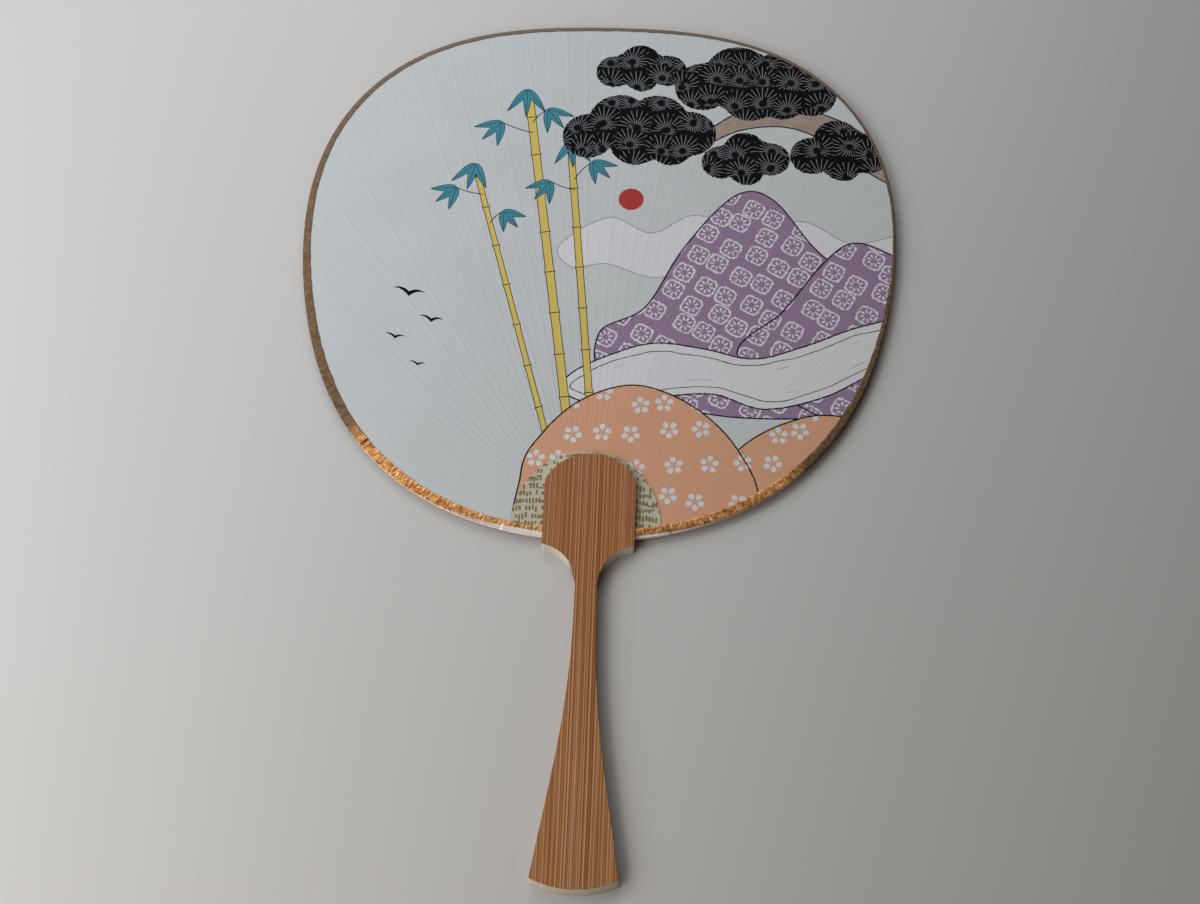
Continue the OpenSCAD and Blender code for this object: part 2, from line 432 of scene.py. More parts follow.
def closedCurve(points, steps=12):
    p = np.array(points, float)
    t = np.linspace(0, 1, steps, endpoint=False)[None, :, None]
    corners = (np.roll(p, shift, axis=0)[:, None, :] for shift in (1, 0, -1, -2))
    return curveThrough(*corners, t).reshape(-1, 2)


def outlineDistance(where, curve):  # mm outside a closed curve, less than 0 inside
    nearest = np.full(len(where), 1e9)
    inside = np.zeros(len(where), bool)
    for a, b in zip(curve, np.roll(curve, -1, axis=0)):
        way = b - a
        t = np.clip(((where - a) @ way) / (way @ way), 0, 1)
        nearest = np.minimum(nearest, np.hypot(*(where - a - t[:, None] * way).T))
        crosses = (a[1] > where[:, 1]) != (b[1] > where[:, 1])
        level = (where[:, 1] - a[1]) / (way[1] if way[1] else 1e-9) * way[0] + a[0]
        inside ^= crosses & (where[:, 0] < level)
    return np.where(inside, -nearest, nearest)


def bankDistance(where, rounds):
    distances = [np.hypot(where[:, 0] - x, where[:, 1] - y) - r for x, y, r in rounds]
    return np.min(distances, axis=0)


def writeDistances(piece):
    where = (pointsOf(piece)[:, :2] - np.array(face["centre"])) / mm
    for name, points in outlines.items():
        writeField(piece, name, outlineDistance(where, closedCurve(points)))
    for i, rounds in enumerate(needleBanks):
        writeField(piece, "bank%d" % i, bankDistance(where, rounds))


# the print's colours and motifs

ink = {
    "paper": [srgb(193, 199, 202), srgb(204, 209, 212)],
    "white": srgb(216, 218, 223),
    "orange": srgb(214, 158, 122),
    "purple": srgb(136, 104, 142),
    "yellow": srgb(214, 192, 104),
    "teal": srgb(70, 140, 160),
    "red": srgb(178, 62, 60),
    "black": srgb(10, 10, 14),
    "grey": srgb(140, 143, 150),
    "bark": srgb(168, 150, 140),
    "outline": 0.3,  # mm, half of its width
    "fine": 0.17,
}
culms = [  # foot x and y, top x and y, width, all mm
    (-8, -80, -32, 78, 3.4),
    (0, -70, -13, 52, 2.8),
    (-14, -90, -52, 40, 2.2),
]
leafTufts = [  # x, y, length, turn in degrees, and where its twig leaves the culm
    (-33, 83, 14, 0, -32, 76),
    (-24, 73, 12, 38, -30, 66),
    (-43, 66, 12, -42, -29.5, 61),
    (-13, 57, 13, 5, -13, 50),
    (-4, 47, 11, 45, -11, 38),
    (-21, 37, 11, -35, -10.5, 33),
    (-53, 45, 13, -12, -52, 38),
    (-60, 33, 11, -50, -49, 30),
    (-40, 22, 10, 40, -45, 16),
]
birds = [(-76, -18, 7.0), (-66, -30, 5.2), (-80, -38, 4.4), (-70, -50, 3.6)]
redSun = (13, 29, 5.2)
culmJoints = 19.0  # mm from one to the next
streamGap = 3.4
# a motif's cell: its size in mm, how far its middle strays, parts round it and the cells' turn
# a spot in it: mm from the middle, radius and stretch
motifs = {
    "blossoms": {
        "cell": 13.5, "stray": 0.55, "parts": 5, "turn": 0.0,
        "petal": (2.55, 1.12, 1.15), "notch": (3.95, 0.42), "tip": (1.45, 0.2),
    },
    "rings": {
        "cell": 10.5, "stray": 0.35, "parts": 8, "turn": 0.5,
        "ray": (2.15, 0.42, 2.3), "halfSquare": 3.7,
    },
    "needles": {
        "cell": 11.0, "stray": 0.5, "parts": 22, "turn": 0.0,
        "lower": 3.4, "strokeMiddle": 5.2, "strokeHalf": 3.4,
    },
}
anyTurn = 6.28  # times a random number, a random angle


class Print(Mat):  # the front sheet's paper, with its inks laid one over the other
    def begin(self):
        centre = (face["centre"].x / mm, face["centre"].y / mm, 0)
        where = self.vector("SUBTRACT", self.place(), centre)
        self.x, self.y, _ = self.split(where)
        self.flat = self.join(self.x, self.y)
        self.waver = self.noise(self.flat, 0.9, 2.0) - 0.5  # the cut edge of a printing block
        cloudy = self.noise(self.flat, 0.03, 3.0)
        self.colour = self.mix(cloudy, *ink["paper"])

    def lay(self, mask, colour):
        self.colour = self.mix(mask, self.colour, colour)

    def flecked(self, colour, strength):  # paper that shows through a thin ink
        bare = self.under(0.52, self.noise(self.flat, 2.6, 2.0), 0.2)
        return self.mix(bare * strength, colour, ink["white"])

    def region(self, field, colour, line="outline", lineColour="black"):  # a printed shape
        distance = self.attribute(field) + self.waver * 0.35
        self.lay(self.under(distance, 0), colour)
        self.lay(self.under(abs(distance), ink[line] + self.waver * 0.3), ink[lineColour])
        return distance

    def cells(self, motif):  # a point's place in its cell, and the cell's own number
        spot = self.node("ShaderNodeVectorRotate", {"rotation_type": "Z_AXIS"},
                         {"Vector": self.flat, "Angle": motif["turn"]})
        spot = self.scaled(spot, 1 / motif["cell"])
        inputs = {"Vector": spot, "Scale": 1.0, "Randomness": motif["stray"]}
        colour, centre = self.node("ShaderNodeTexVoronoi", {"voronoi_dimensions": "2D"}, inputs,
                                   ("Color", "Position"))
        x, y, _ = self.split(self.scaled(self.vector("SUBTRACT", spot, centre), motif["cell"]))
        number, _, _ = self.split(colour)
        return x, y, number

    def folded(self, x, y, parts, turn):  # a place in one of the equal slices round a centre
        wide = 2 * math.pi / parts
        radius = self.reach(x, y)
        angle = self.math("FLOORED_MODULO", self.math("ARCTAN2", y, x) + turn, wide) - wide / 2
        return radius, radius * self.math("COSINE", angle), radius * self.math("SINE", angle)

    def dot(self, u, v, at, radius, stretch=1.0):  # a spot that far out in its slice
        return self.under(self.reach((u - at) / stretch, v), radius)

    def blossoms(self):  # five-petalled flowers
        motif = motifs["blossoms"]
        x, y, number = self.cells(motif)
        _, u, v = self.folded(x, y, motif["parts"], number * anyTurn)
        petal = self.dot(u, v, *motif["petal"]) * (1 - self.dot(u, v, *motif["notch"]))
        stamen = self.under(abs(v), 0.10) * self.under(abs(u - 1.0), 0.42)
        return self.most(petal, stamen, self.dot(u, v, *motif["tip"]))

    def rings(self):  # tied-and-dyed squares with a star inside
        motif = motifs["rings"]
        x, y, number = self.cells(motif)
        _, u, v = self.folded(x, y, motif["parts"], number * anyTurn)
        star = self.dot(u, v, *motif["ray"])
        square = self.math("POWER", abs(x), 4) + self.math("POWER", abs(y), 4)
        square = self.math("POWER", square, 0.25)
        torn = self.noise(self.flat, 0.75, 3.0, 0.7)
        ring = self.under(abs(square - motif["halfSquare"]), (torn - 0.34) * 2.2)
        return self.most(star * self.under(0.4, torn), ring)

    def needles(self):  # fans of fine strokes
        motif = motifs["needles"]
        x, y, number = self.cells(motif)
        radius, _, v = self.folded(x, y + motif["lower"], motif["parts"], number)
        broken = self.noise(self.flat, 0.3, 2.0)
        length = self.under(abs(radius - motif["strokeMiddle"]), motif["strokeHalf"], 0.8)
        return self.under(abs(v), 0.13) * length * self.under(0.42, broken, 0.08)

    def grain(self):  # a line drawn along the bark
        bent = self.y * 1.9 - self.x * 0.35 + self.noise(self.flat, 0.05, 1.0) * 14
        waves = self.math("SINE", bent * 1.5)
        broken = self.noise(self.flat, 0.25, 2.0)
        return self.under(abs(waves), 0.16, 0.12) * self.under(0.5, broken, 0.05)

    def streamLines(self, distance):  # lines that follow the banks
        slow = self.noise(self.flat, 0.06, 1.0) * 3.0
        band = self.math("FLOORED_MODULO", distance + self.waver * 0.2 + slow, streamGap)
        line = self.under(abs(band - streamGap / 2), ink["fine"])
        return line * self.under(distance, -1.2) * self.under(-6.2, distance)

    def fromLine(self, footX, footY, topX, topY):  # its length, and how far along and beside it
        length = math.hypot(topX - footX, topY - footY)
        tx, ty = (topX - footX) / length, (topY - footY) / length
        dx = self.x - footX
        dy = self.y - footY
        return length, dx * tx + dy * ty, dx * ty - dy * tx

    def culm(self, footX, footY, topX, topY, width):  # a bamboo stem with its joints
        length, along, beside = self.fromLine(footX, footY, topX, topY)
        across = abs(beside + self.waver * 0.15)
        joint = self.math("FLOORED_MODULO", along + footX, culmJoints)
        joint = abs(joint - culmJoints / 2)
        side = across - self.under(joint, 0.9, 0.9) * 0.3 - width / 2
        ends = self.under(abs(along - length / 2), length / 2)
        self.lay(self.under(side, 0) * ends, ink["yellow"])
        line = self.most(self.under(abs(side), 0.16), self.under(joint, 0.2) * self.under(side, 0))
        self.lay(line * ends, ink["black"])

    def twig(self, footX, footY, topX, topY):  # a bent line
        length, along, beside = self.fromLine(footX, footY, topX, topY)
        bend = self.math("SINE", along * (math.pi / length)) * 0.6
        inside = self.under(abs(along - length / 2), length / 2)
        return self.under(abs(beside + bend), 0.2) * inside

    def tuft(self, x, y, length, turn, twigX, twigY):  # three leaves that hang from a twig
        self.lay(self.twig(twigX, twigY, x, y), ink["black"])
        dx = self.x - x
        dy = self.y - y
        radius = self.reach(dx, dy)
        angle = self.math("ARCTAN2", dx, -dy) - math.radians(turn)
        apart, most = 0.62, 0.63  # radians from the middle leaf to the next, and at most
        leaf = self.math("SNAP", angle + apart / 2, apart)
        angle = angle - self.math("MINIMUM", self.math("MAXIMUM", leaf, -most), most)
        u = radius * self.math("COSINE", angle) / length
        v = abs(radius * self.math("SINE", angle))
        blade = (1.0 - u) * self.math("SQRT", self.math("MAXIMUM", u, 0.0)) * 4.2
        shape = blade - v
        fromTwig = self.under(0.0, u, 0.01)
        inside = self.under(0.0, shape) * fromTwig
        self.lay(inside, ink["teal"])
        rim = self.under(abs(shape), 0.13) * fromTwig * self.under(u, 1.02, 0.01)
        self.lay(self.most(self.under(v, 0.1) * inside, rim), ink["black"])

    def bird(self, x, y, size):  # two curved wings
        u = abs((self.x - x) / size)
        v = (self.y - y + (self.x - x) * 0.18) / size
        wing = abs(v - (u * 0.95 - u * u * 0.75))
        return self.under(wing, (1.0 - u) * 0.16, 0.02) * self.under(u, 1.0, 0.02)

    def disc(self, x, y, size):
        return self.under(self.reach(self.x - x, self.y - y) + self.waver * 0.3, size)


def printMaterial():
    p = Print("printed mulberry paper")
    p.begin()
    p.lay(p.disc(*redSun), ink["red"])
    p.region("cloudBand", ink["white"], "fine", "grey")
    ringed = p.mix(p.rings(), p.flecked(ink["purple"], 0.3), ink["white"])
    p.region("farHill", ringed)
    p.region("sideHill", ringed)
    stream = p.region("stream", ink["white"])
    p.lay(p.streamLines(stream), ink["black"])
    flowered = p.mix(p.blossoms(), p.flecked(ink["orange"], 0.16), ink["white"])
    for culm in culms:
        p.culm(*culm)
    p.region("lowHill", flowered)
    p.region("nearHill", flowered)
    for tuft in leafTufts:
        p.tuft(*tuft)
    p.region("trunk", p.mix(p.grain(), ink["bark"], ink["black"]))
    strokes = p.mix(p.needles(), ink["black"], ink["grey"])
    for i in range(len(needleBanks)):
        distance = p.attribute("bank%d" % i)
        p.lay(p.under(distance + p.waver * 1.2, 0), strokes)
    for bird in birds:
        p.lay(p.bird(*bird), ink["black"])
    # printed ink is a little uneven
    speckle = p.noise(p.flat, 3.2, 2.0)
    p.colour = p.mix(p.under(speckle, 0.5, 0.3) * 0.5, p.colour, (0.86, 0.86, 0.86, 1), "MULTIPLY")
    fibre = p.noise(p.vector("MULTIPLY", p.flat, (5.0, 0.35, 1.0)), 1.0, 3.0, 0.6)
    weave = p.noise(p.flat, 6.0, 2.0)
    surface = p.bump(fibre * 0.6 + weave * 0.4, 0.12, 0.05 * mm)
    return p.finish(Base_Color=p.colour, Roughness=0.66, Normal=surface, Specular_IOR_Level=0.06)


def plainPaperMaterial():
    p = Mat("plain mulberry paper")
    where = p.place()
    cloudy = p.noise(where, 0.03, 3.0)
    pulp = p.noise(p.vector("MULTIPLY", where, (0.5, 4.0, 1.0)), 1.0, 4.0, 0.7)
    fibre = p.under(0.62, pulp, 0.1) * 0.35
    colour = p.mix(cloudy, srgb(206, 206, 198), srgb(218, 217, 210))
    colour = p.mix(fibre, colour, srgb(190, 186, 172))
    surface = p.bump(pulp, 0.15, 0.05 * mm)
    return p.finish(Base_Color=colour, Roughness=0.7, Normal=surface, Specular_IOR_Level=0.3)


# edge paper

edgePaper = {
    "thick": 0.11,  # mm that its outer face stands off the sheets
    "skin": 0.07,  # mm from its outer face to its inner one
    "stepAngle": 0.5,  # degrees
    # width on the front, mm, every 30 degrees clockwise from the top
    "front": [1.7, 1.4, 1.1, 1.3, 2.8, 3.9, 3.8, 4.1, 3.8, 3.1, 2.4, 1.9],
    "waver": 0.10,  # mm, how unevenly it is folded over
    "least": 0.45,  # mm, its narrowest front
    "whole": 7.4,  # mm, before folding
    "lap": 4.0,
    "lapRise": 0.1,  # mm, how far a lapped end stands off
    "crumple": 0.05,  # mm
    "crumpleRange": (-0.04, 0.06),
    "ribBump": 0.04,  # mm, over the end of each rib
    "ribBumpReach": 0.9,
}
edgeLengths = {  # mm that it stands off the sheets and bulges at the rim, whether its first end laps
    "mainEdge": {"node": "edge_strip_main", "lift": 0, "lapped": 1, "loose": 0.01, "seed": 11},
    "leftEdge": {"node": "edge_strip_left", "lift": 0, "lapped": 0, "loose": 0.01, "seed": 12},
    "baseEdge": {"node": "edge_strip_base", "lift": 0.16, "lapped": 0, "loose": 0.12, "seed": 13},
}
lapAngle = edgePaper["lap"] / 2.13  # one degree is 2.13 mm of the rim


def roundNoise(rng, count, angle):  # a smooth closed random curve with that many waves
    phase = rng.uniform(0, 2 * math.pi, count)
    weight = rng.standard_normal(count) / np.sqrt(count)
    waves = np.arange(1, count + 1) * 3 + 7
    turns = np.radians(angle)[None, :] * waves[:, None] + phase[:, None]
    return (weight[:, None] * np.sin(turns)).sum(0)


def ribEnds():  # angle of each rib's end, about the face's centre
    distance = np.interp(ribAngle, *farEdge)
    x = face["fanPoint"].x + distance * np.sin(ribAngle) - face["centre"].x
    y = face["fanPoint"].y + distance * np.cos(ribAngle) - face["centre"].y
    return np.degrees(np.arctan2(x, y)) % 360


def frontWidth(angle):
    widths = np.array(edgePaper["front"])
    t = (angle % 360) / 30
    mark = np.floor(t).astype(int)
    around = (widths[(mark + step) % len(widths)] for step in (-1, 0, 1, 2))
    return curveThrough(*around, t % 1)


def writeFromRim(piece):  # mm inwards from the rim
    away = pointsOf(piece)[:, :2] - np.array(face["centre"])
    rim = rimAt(np.degrees(np.arctan2(away[:, 0], away[:, 1])))[0] - np.array(face["centre"])
    inwards = np.hypot(rim[:, 0], rim[:, 1]) - np.hypot(away[:, 0], away[:, 1])
    writeField(piece, "fromRim", inwards / mm)


def edgeBumps(angle):  # where the rib ends press through
    turn = np.abs((angle[:, None] - ribEnds()[None, :] + 180) % 360 - 180)
    gap = turn * 2.1  # about mm along the rim
    bumps = np.exp(-(gap / edgePaper["ribBumpReach"]) ** 2).sum(1).clip(0, 1)
    return bumps * edgePaper["ribBump"]


def makeEdge(name, span, material, node, lift, lapped, loose, seed):
    rng = np.random.default_rng(seed)
    first, last = span
    count = int((last - first) / edgePaper["stepAngle"])
    angle = np.linspace(first, last, count + 1)
    point, outward = rimAt(angle)
    front = frontWidth(angle) + edgePaper["waver"] * roundNoise(rng, 40, angle)
    front = np.maximum(front, edgePaper["least"])
    back = edgePaper["whole"] - (coreHigh - coreLow) / mm - front
    t = edgePaper["thick"]
    rise = lift + edgePaper["lapRise"] * (1 - smooth(0, 1.2, (angle - first) / lapAngle)) * lapped
    top = coreHigh / mm + rise
    low = coreLow / mm - rise
    fold = rise * 0.5
    tuck = -np.minimum(0.25, front * 0.3)
    # half of the section, from the back lip round the rim to the front lip:
    # outwards, height, how far the inner skin lies inwards and down, crumple
    section = [(-back * share, low - t, 0, 1, 0.6) for share in (1.0, 0.66, 0.33)]
    section += [
        (-0.25 + 0 * angle, low - t, 0, 1, 0.4),
        (0.02 + fold, low - t * 0.5, -0.7, 0.7, 0.2),
        (t + fold, low + 0.2, -1, 0, 0.3),
        (t + fold + loose, (top + low) / 2, -1, 0, 0.5),
        (t + fold, top - 0.2, -1, 0, 0.3),
        (0.02 + fold, top + t * 0.5, -0.7, -0.7, 0.2),
        (tuck, top + t, 0, -1, 0.4),
    ]
    flat = (0.25, 0.5, 0.75, 0.93)
    section += [(tuck + (-front - tuck) * share, top + t, 0, -1, 1.0) for share in flat]
    section += [(-front, top + t * 0.6, 0, -1, 0.5)]
    rimRow = 6  # the section's outermost row
    row = np.arange(len(section))[:, None]
    columns = [np.array([part[k] + 0 * angle for part in section]) for k in range(5)]
    outs, heights, inwards, down, crumple = columns
    ripple = np.array([roundNoise(rng, 60, angle * 2 + 31 * i) for i in range(len(section))])
    ripple = (ripple * edgePaper["crumple"]).clip(*edgePaper["crumpleRange"]) * crumple
    bumps = edgeBumps(angle) * (crumple > 0.35)
    heights = heights + np.where(row > len(section) / 2, 1, -1) * (ripple + bumps)
    outs = outs + np.where(np.abs(row - rimRow) < 2, ripple * 0.5 - 0.03, 0)
    innerOuts = (outs + inwards * edgePaper["skin"])[::-1]
    innerHeights = (heights + down * edgePaper["skin"])[::-1]
    outs = np.vstack([outs, innerOuts, outs[:1]])
    heights = np.vstack([heights, innerHeights, heights[:1]])

    def place(across, along):
        reach = outs[along, across] * mm
        x = point[across, 0] + outward[across, 0] * reach
        y = point[across, 1] + outward[across, 1] * reach
        return np.stack([x, y, heights[along, across] * mm], axis=1)

    bm = gridPiece(count, len(outs) - 1, place)
    bmesh.ops.remove_doubles(bm, verts=bm.verts, dist=0.001 * mm)
    bmesh.ops.edgeloop_fill(bm, edges=[e for e in bm.edges if e.is_boundary])
    piece = newPiece(name, bm, material)
    writeFromRim(piece)
    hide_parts(node)
    return piece


gold = {
    # painted reflection: darker tones where the foil would mirror the dim room, and paler ones with
    # painted glints where it would mirror the lamps
    "darkReflection": [(0.34, srgb(80, 61, 45)), (0.5, srgb(110, 86, 63)), (0.68, srgb(144, 116, 86))],
    "grey": srgb(102, 92, 81),  # painted reflection of the far side of the room, near the top
    "farReflectionWithin": (1.1, 1.2),  # radians from the top, and how softly it ends
    "brightReflection": [(0.36, srgb(134, 78, 34)), (0.5, srgb(210, 140, 78)), (0.66, srgb(255, 210, 150))],
    "brightReflectionFrom": [133, 139],  # degrees from the top, on the left and on the right, where the painted bright reflection begins
    # painted shade and painted glare on the fold's outer wall
    "foldShade": srgb(88, 66, 48),
    "foldGlare": srgb(240, 228, 214),
    "glare": srgb(252, 250, 246),
    "glareWidth": [2.1, 0.9],  # mm from the rim, on the left and the right of the handle
    "creases": 1.0,  # for each mm
    "besideFrom": 158,  # degrees from the top, where the glare beside the handle begins
}


def goldMaterial():
    p = Mat("gold edge paper")
    where = p.place()
    x, y, z = p.split(where)
    dx = x - face["centre"].x / mm
    dy = y - face["centre"].y / mm
    angle = p.math("ARCTAN2", dx, dy)
    _, _, nz = p.split(p.coordinate("Normal"))
    patchy = p.noise(where, 0.09, 2.0)
    onLeft = p.under(angle, 0)

    def bySide(left, right):
        return onLeft * (left - right) + right

    brightReflectionFrom = bySide(*(math.radians(part) for part in gold["brightReflectionFrom"]))
    # painted reflection: beyond these angles the lower rim gets the bright tones, the rest the dark
    # ones
    lit = p.under(brightReflectionFrom, abs(angle) + (patchy - 0.5) * 0.2, 0.12)
    # creases run across the strip, with small crushed facets between them
    unrolled = p.join(angle * face["radius"], p.reach(dx, dy) * 0.36, z)
    crease = p.noise(unrolled, gold["creases"], 3.0, 0.65)
    facet = p.spots(unrolled, 1.0)
    crinkleGlint = p.noise(where, 1.4, 3.0, 0.65)
    # the creases and crinkles pick tones along the ramps: partly the foil's own mottling, partly
    # painted glints and painted shade
    glintLevel = crease * 0.55 + crinkleGlint * 0.35 + p.noise(where, 0.35, 2.0) * 0.25 - facet * 0.12
    colour = p.mix(lit, p.ramp(glintLevel, gold["darkReflection"]), p.ramp(glintLevel, gold["brightReflection"]))
    # painted reflection: greyer near the top of the rim
    colour = p.mix(p.under(abs(angle), *gold["farReflectionWithin"]) * 0.7, colour, gold["grey"])
    # painted glare: a near-white band on the rim's front and fold beside the handle
    beside = p.under(math.radians(gold["besideFrom"]), abs(angle), 0.35)
    fromRim = p.attribute("fromRim") + (crease - 0.5) * 0.5
    upwards = p.under(-0.5, nz, 0.3)
    shine = p.under(fromRim, beside * bySide(*gold["glareWidth"]), 0.5) * beside * upwards
    colour = p.mix(shine * 0.9, colour, gold["glare"])
    # painted shade on the fold's outer wall, and painted glare there on the lower rim
    fold = p.under(abs(nz), 0.72, 0.2)
    colour = p.mix(fold * 0.85, colour, p.mix(lit, gold["foldShade"], gold["foldGlare"]))
    height = (crease + facet * 0.5 + crinkleGlint * 0.3) * (lit * 0.75 + 0.25) * (1 - shine * 0.85)
    surface = p.bump(height, 1.0, 0.2 * mm)
    rough = crease * 0.2 + (0.42 - lit * 0.16 - shine * 0.08)
    metal = 0.75 - shine * 0.5
    return p.finish(Base_Color=colour, Metallic=metal, Roughness=rough, Normal=surface)


# base patch

patch = {
    "columnWide": 1.25,  # mm
    "rowHigh": 3.1,
    "bar": 0.42,  # half of its width
    "ground": [srgb(182, 177, 156), srgb(197, 193, 174)],
    "bars": srgb(122, 108, 58),
}


def patchMaterial():  # rows of short upright bars, joined here and there by level ones
    p = Mat("patterned base paper")
    where = p.place()
    x, y, _ = p.split(where)
    x = x + (p.noise(where, 1.3, 2.0) - 0.5) * 0.3
    y = y + p.noise(p.vector("ADD", where, (9.0, 4.0, 0.0)), 1.3, 2.0) * 0.4
    wide, high = patch["columnWide"], patch["rowHigh"]
    column = p.math("FLOOR", x / wide)
    y = y + p.random(p.math("FLOOR", column / 3.0)) * 1.2
    row = p.math("FLOOR", y / high)
    inColumn = x / wide - column - 0.5
    inRow = y / high - row - 0.5
    number = column * 7.13 + row * 31.7
    middle = p.random(number) * 0.3 - 0.15
    reach = p.random(number + 0.37) * 0.26 + 0.15
    upright = p.under(abs(inColumn) * wide, patch["bar"], 0.12)
    upright = upright * p.under(abs(inRow - middle), reach, 0.04)
    upright = upright * p.under(p.random(number + 0.71), 0.74, 0.01)
    pair = p.math("FLOOR", x / (1.6 * wide) + row * 0.5)
    number = pair * 5.31 + row * 11.9
    level = p.under(abs(inRow + 0.3 - p.random(number) * 0.6) * high, patch["bar"], 0.12)
    level = level * p.under(p.random(number + 0.23), 0.42, 0.01)
    bars = p.most(upright, level)
    worn = p.under(0.34, p.noise(where, 0.8, 3.0, 0.7), 0.1)
    ground = p.mix(p.noise(where, 0.4, 3.0), *patch["ground"])
    colour = p.mix(bars * worn * 0.94, ground, patch["bars"])
    surface = p.bump(p.noise(where, 5.0, 3.0), 0.2, 0.05 * mm)
    return p.finish(Base_Color=colour, Roughness=0.75, Normal=surface, Specular_IOR_Level=0.3)


# bamboo

bamboo = {
    "strip": 1.9,  # mm, from one change of hue to the next
    "bundle": 0.45,  # mm, one bundle of fibres
    # fine lines, one in each pitch at a place of its own: pitch and width in mm, seed, strength
    "paleLines": [(1.6, 0.42, 3, 1.0), (2.3, 0.32, 17, 0.9), (1.1, 0.22, 53, 0.7)],
    "darkLines": [(1.3, 0.38, 29, 1.0), (2.1, 0.5, 41, 0.8), (0.9, 0.24, 67, 0.7)],
    "hues": [srgb(162, 103, 52), srgb(158, 108, 68)],
    "pale": srgb(200, 154, 108),
    "dark": srgb(124, 72, 32),
    "head": (0.9, 0.76, 0.62, 1.0),  # how much darker and redder the head is
    "headFrom": (80, 90),  # mm from the tail, and how softly it begins
    # painted shade on the handle's side walls
    "wallShade": srgb(100, 60, 32),
    "sawn": [srgb(224, 218, 206), srgb(178, 164, 142)],
    "bevel": 0.2,  # mm
    "bevelFrom": 35,  # degrees between two faces
}


class Wood(Mat):
    def line(self, across, pitch, width, seed, strength):
        number = self.math("FLOOR", across / pitch)
        inside = abs(across - (number + self.random(number + seed) * 0.7 + 0.15) * pitch)
        return self.under(inside, width / 2, 0.14) * (self.random(number + seed + 0.5) * strength)


def handleMaterial():
    p = Wood("smoked bamboo")
    where = p.place()
    x, y, z = p.split(where)
    nx, ny, nz = p.split(p.coordinate("Normal"))
    # fibres run the length of the handle
    across = x + p.noise(p.vector("MULTIPLY", where, (0.12, 0.008, 0.12)), 1.0, 1.0) * 1.4
    strip = p.math("FLOOR", across / bamboo["strip"])
    tone = p.random(p.math("FLOOR", across / bamboo["bundle"]) + 0.5)
    fibre = p.noise(p.join(across, y * 0.012, z), 2.4, 3.0, 0.65)
    colour = p.mix(p.random(strip + 0.25), *bamboo["hues"])
    colour = p.mix(tone * 0.28, colour, bamboo["dark"])
    colour = p.mix(p.under(fibre, 0.42, 0.14) * 0.4, colour, bamboo["dark"])
    colour = p.mix(p.under(0.58, fibre, 0.14) * 0.4, colour, bamboo["pale"])
    for line in bamboo["darkLines"]:
        colour = p.mix(p.line(across, *line), colour, bamboo["dark"])
    for line in bamboo["paleLines"]:
        colour = p.mix(p.line(across, *line), colour, bamboo["pale"])
    headFrom, fade = bamboo["headFrom"]
    colour = p.mix(p.under(headFrom, y, fade), colour, bamboo["head"], "MULTIPLY")
    # painted shade: the handle's upright side walls darker
    colour = p.mix(p.under(0.6, abs(nx), 0.2) * 0.6, colour, bamboo["wallShade"])
    # sawn ends: pale, with the cut ends of the fibres as dots
    ends = p.under(0.5, abs(ny), 0.25) * p.under(abs(nz), 0.6, 0.3)
    dots = p.spots(where, 1.9)
    grain = p.noise(where, 2.5, 3.0, 0.7)
    fuzz = p.under(dots, 0.22 + grain * 0.25, 0.25) * 0.6 + p.under(0.5, grain, 0.3) * 0.3
    colour = p.mix(ends, colour, p.mix(fuzz, *bamboo["sawn"]))
    height = p.mix(ends, fibre * 0.7 + tone * 0.1, grain + dots * 0.5)
    surface = p.bump(height, 0.4, 0.12 * mm)
    rough = 0.46 + ends * 0.3 + fibre * 0.1
    return p.finish(Base_Color=colour, Roughness=rough, Normal=surface, Specular_IOR_Level=0.45)


def ribMaterial():
    p = Mat("split bamboo")
    where = p.place()
    fibre = p.noise(where, 2.2, 3.0, 0.6)
    colour = p.ramp(fibre, [(0.3, srgb(198, 170, 120)), (0.7, srgb(226, 204, 158))])
    surface = p.bump(fibre, 0.3, 0.05 * mm)
    return p.finish(Base_Color=colour, Roughness=0.6, Normal=surface)


def dress(node, material):
    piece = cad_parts[node]
    piece.data.materials.clear()
    piece.data.materials.append(material)
    return piece


def dressHandle():
    piece = dress("handle", handleMaterial())
    weld = piece.modifiers.new("weld", "WELD")
    weld.merge_threshold = 0.001 * mm
    bevel = piece.modifiers.new("eased edges", "BEVEL")
    bevel.width = bamboo["bevel"] * mm
    bevel.segments = 2
    bevel.limit_method = "ANGLE"
    bevel.angle_limit = math.radians(bamboo["bevelFrom"])


# build the pieces

printed, plain = printMaterial(), plainPaperMaterial()
frontSheet = makeSheet("frontSheet", 1, sheet["rings"], printed, "front_paper")
writeDistances(frontSheet)
print("front sheet:", len(frontSheet.data.polygons), "faces")
backSheet = makeSheet("backSheet", -1, sheet["backRings"], plain, "back_paper")
print("back sheet:", len(backSheet.data.polygons), "faces")


def angleOf(corner):  # clockwise from the top, about the face's centre
    away = Vector(corner[:2]) - face["centre"]
    return math.degrees(math.atan2(away.x, away.y)) % 360


patchLow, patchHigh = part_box("front_base_patch")
leftLow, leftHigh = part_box("edge_strip_left")
lowerRight = np.arange(120, 180, 0.1)  # degrees, where the patch's side meets the rim
aside = rimAt(lowerRight)[0][:, 0] - face["centre"].x
patchAngle = float(lowerRight[np.argmin(np.abs(aside - (patchHigh.x - patchLow.x) / 2))])
seamAngle = angleOf((leftLow.x, leftHigh.y))
edgeGold = goldMaterial()
spans = {  # from and to, degrees clockwise from the top
    "mainEdge": (seamAngle - lapAngle, 360 + patchAngle),
    "leftEdge": (360 - patchAngle, seamAngle),
    "baseEdge": (patchAngle - lapAngle, 360 - patchAngle + lapAngle),
}
for name, length in edgeLengths.items():
    makeEdge(name, spans[name], edgeGold, **length)
print("edge paper: seams at", round(patchAngle, 1), round(seamAngle, 1))

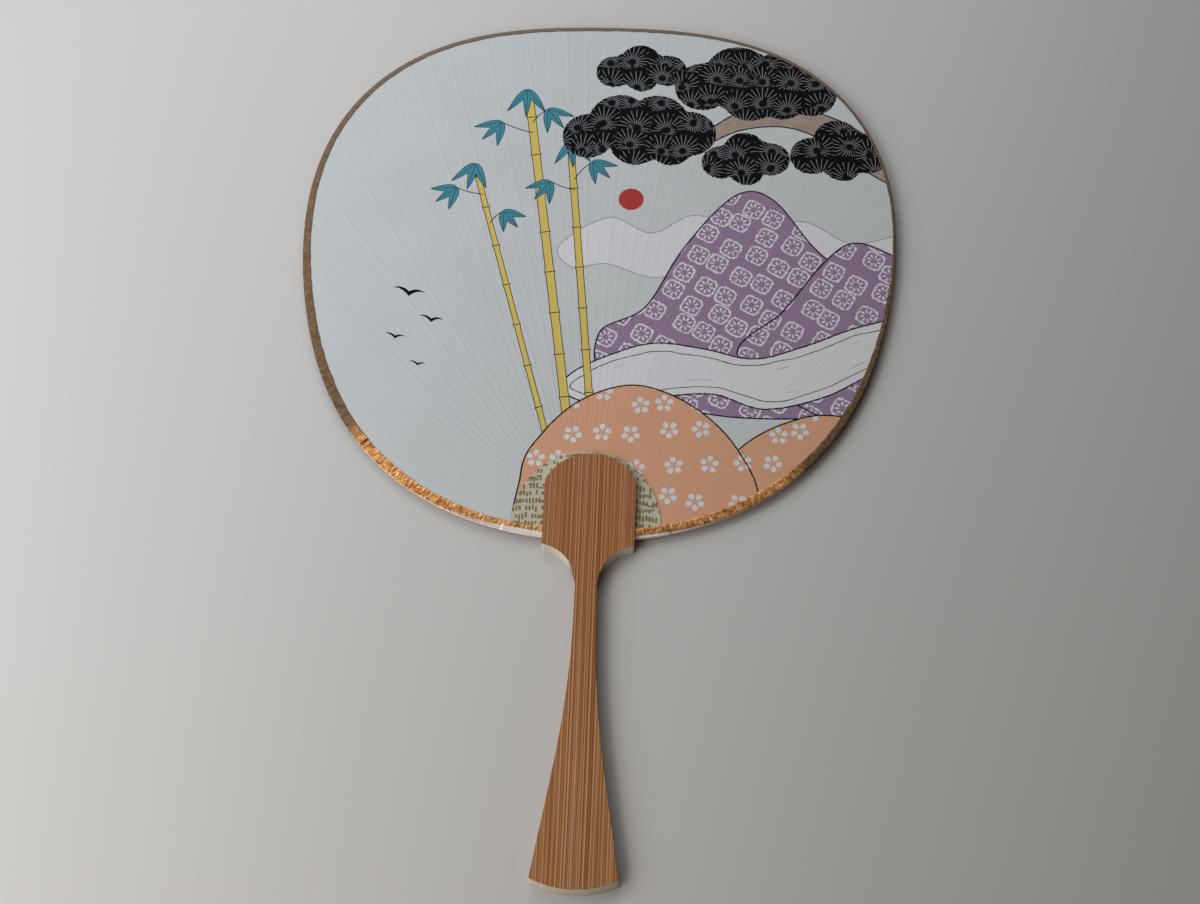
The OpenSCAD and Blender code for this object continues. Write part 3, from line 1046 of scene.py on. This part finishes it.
patchPaper = patchMaterial()
for node in ("front_base_patch", "back_base_patch"):
    dress(node, patchPaper)
ribWood = ribMaterial()
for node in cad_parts:
    if node.startswith("rib_pair_") or node == "middle_rib":
        dress(node, ribWood)
dressHandle()
print("handle, patches and ribs dressed")

# floor, light and camera

studio = {
    "floor": srgb(200, 199, 198),
    "floorReach": 3,  # m to each side
    "aim": (0, 0.2, 0),  # m, where the lamps point
    "world": 0.06,
    "worldColour": (1.0, 0.84, 0.7, 1.0),
}
lamps = {  # place and size in m, power in W
    "key": {"place": (-0.55, 0.15, 0.35), "size": 0.45, "power": 2.15, "colour": (0.95, 1.0, 1.05)},
    "upper": {"place": (-0.25, 0.6, 0.4), "size": 0.5, "power": 1.3, "colour": (1.0, 1.0, 1.0)},
    "far": {"place": (0.05, 0.7, 0.4), "size": 0.5, "power": 0.85, "colour": (1.0, 1.0, 1.0)},
    "lower": {"place": (-0.35, -0.2, 0.3), "size": 0.4, "power": 1.1, "colour": (1.08, 1.0, 0.9)},
}
camera = {
    "place": (26.6, -104.8, 616.9),  # mm
    "turn": (23.73, 1.24, 2.17),  # degrees
    "lens": 51.7,
}


def makeFloor():
    bm = bmesh.new()
    bmesh.ops.create_grid(bm, x_segments=1, y_segments=1, size=studio["floorReach"])
    mesh = bpy.data.meshes.new("floor")
    bm.to_mesh(mesh)
    bm.free()
    floor = bpy.data.objects.new("floor", mesh)
    floor.location.z = -0.02 * mm  # so that it doesn't lie in the plane of the handle's back
    bpy.context.scene.collection.objects.link(floor)
    p = Mat("pale floor")
    mesh.materials.append(p.finish(Base_Color=studio["floor"], Roughness=0.6, Specular_IOR_Level=0.3))


def makeLight(name, place, size, power, colour):
    lamp = bpy.data.lights.new(name, "AREA")
    lamp.size = size
    lamp.energy = power
    lamp.color = colour
    light = bpy.data.objects.new(name, lamp)
    light.location = place
    aim = Vector(studio["aim"]) - Vector(place)
    light.rotation_euler = aim.to_track_quat("-Z", "Y").to_euler()
    bpy.context.scene.collection.objects.link(light)


def makeWorld():
    world = bpy.data.worlds.new("studio")
    world.use_nodes = True
    sky = world.node_tree.nodes["Background"].inputs
    sky["Color"].default_value = studio["worldColour"]
    sky["Strength"].default_value = studio["world"]
    bpy.context.scene.world = world


def makeCamera():
    lens = bpy.data.cameras.new("camera")
    lens.sensor_width = 36
    lens.sensor_fit = "HORIZONTAL"
    lens.lens = camera["lens"]
    lens.clip_start = 0.01
    eye = bpy.data.objects.new("camera", lens)
    eye.location = Vector(camera["place"]) * mm
    eye.rotation_euler = Euler([math.radians(a) for a in camera["turn"]], "XYZ")
    bpy.context.scene.collection.objects.link(eye)
    bpy.context.scene.camera = eye


makeFloor()
for name, lamp in lamps.items():
    makeLight(name, **lamp)
makeWorld()
makeCamera()
bpy.context.scene.view_settings.view_transform = "Standard"
print("stage set")
